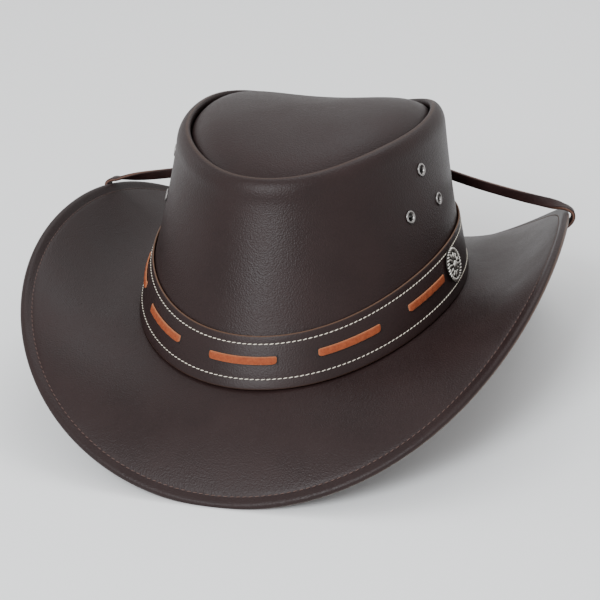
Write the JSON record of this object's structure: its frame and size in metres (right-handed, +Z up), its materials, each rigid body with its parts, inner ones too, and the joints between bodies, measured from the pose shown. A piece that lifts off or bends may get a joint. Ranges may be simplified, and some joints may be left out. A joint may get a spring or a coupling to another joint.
{
  "type": "leather cowboy hat",
  "caption": "Leather hat with a tapered crown, a dished top plate, a stitched band laced in tan, a brim curled up at the sides and a chin cord laid over it.",
  "frame": {"origin": "on the surface the hat rests on, under the middle of the brim's length and width", "axes": "+Z up, front of the hat towards -Y, wearer's left towards +X"},
  "size_m": [0.2782, 0.3266, 0.1436],
  "materials": {
    "hat_leather": "dark brown smooth leather with a soft sheen",
    "band_leather": "dark brown leather with cream stitching along both edges",
    "tan_lace": "orange tan lace with fine cross ribs",
    "eyelet_metal": "old nickel",
    "old_silver": "old silver with dark hollows",
    "cord_leather": "dark leather thong with a raw edge"
  },
  "bodies": {
    "root": {"brim": "hat_leather", "crown_side": "hat_leather", "crown_top": "hat_leather", "hat_band": "band_leather", "lace_1": "tan_lace", "lace_2": "tan_lace", "lace_3": "tan_lace", "lace_4": "tan_lace", "lace_5": "tan_lace", "eyelet_top_left": "eyelet_metal", "eyelet_top_right": "eyelet_metal", "eyelet_rear_left": "eyelet_metal", "eyelet_rear_right": "eyelet_metal", "eyelet_front_left": "eyelet_metal", "eyelet_front_right": "eyelet_metal", "rosette": "old_silver", "chin_cord": "cord_leather"}
  },
  "joints": []
}
